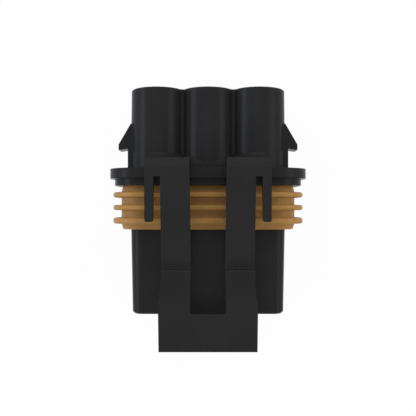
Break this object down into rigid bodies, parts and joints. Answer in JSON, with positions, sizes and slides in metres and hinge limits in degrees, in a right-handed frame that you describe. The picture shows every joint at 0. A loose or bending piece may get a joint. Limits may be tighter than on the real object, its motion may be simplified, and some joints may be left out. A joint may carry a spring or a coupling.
{
  "type": "sealed automotive connector",
  "caption": "Sealed in-line plug connector with latch, ribbed perimeter seal, round wire tubes with cable seals, and stamped female contacts.",
  "frame": {"origin": "middle of the flange's flat back strip, the face it rests on, on the plane of symmetry across the ways", "axes": "+X across the ways, +Y along the connector from the mating end toward the wires, +Z from the back toward the latch"},
  "size_m": [0.0266, 0.0345, 0.0174],
  "materials": {
    "body": "moulded, low sheen",
    "perimeter_seal": "moulded silicone, satin",
    "cable_seal": "moulded silicone, satin",
    "contact": "tin-plated copper alloy"
  },
  "bodies": {
    "root": {"connector_body": "body", "perimeter_seal": "perimeter_seal", "contact_left": "contact", "contact_centre": "contact", "contact_right": "contact", "cable_seal_left": "cable_seal", "cable_seal_centre": "cable_seal", "cable_seal_right": "cable_seal"}
  },
  "joints": []
}
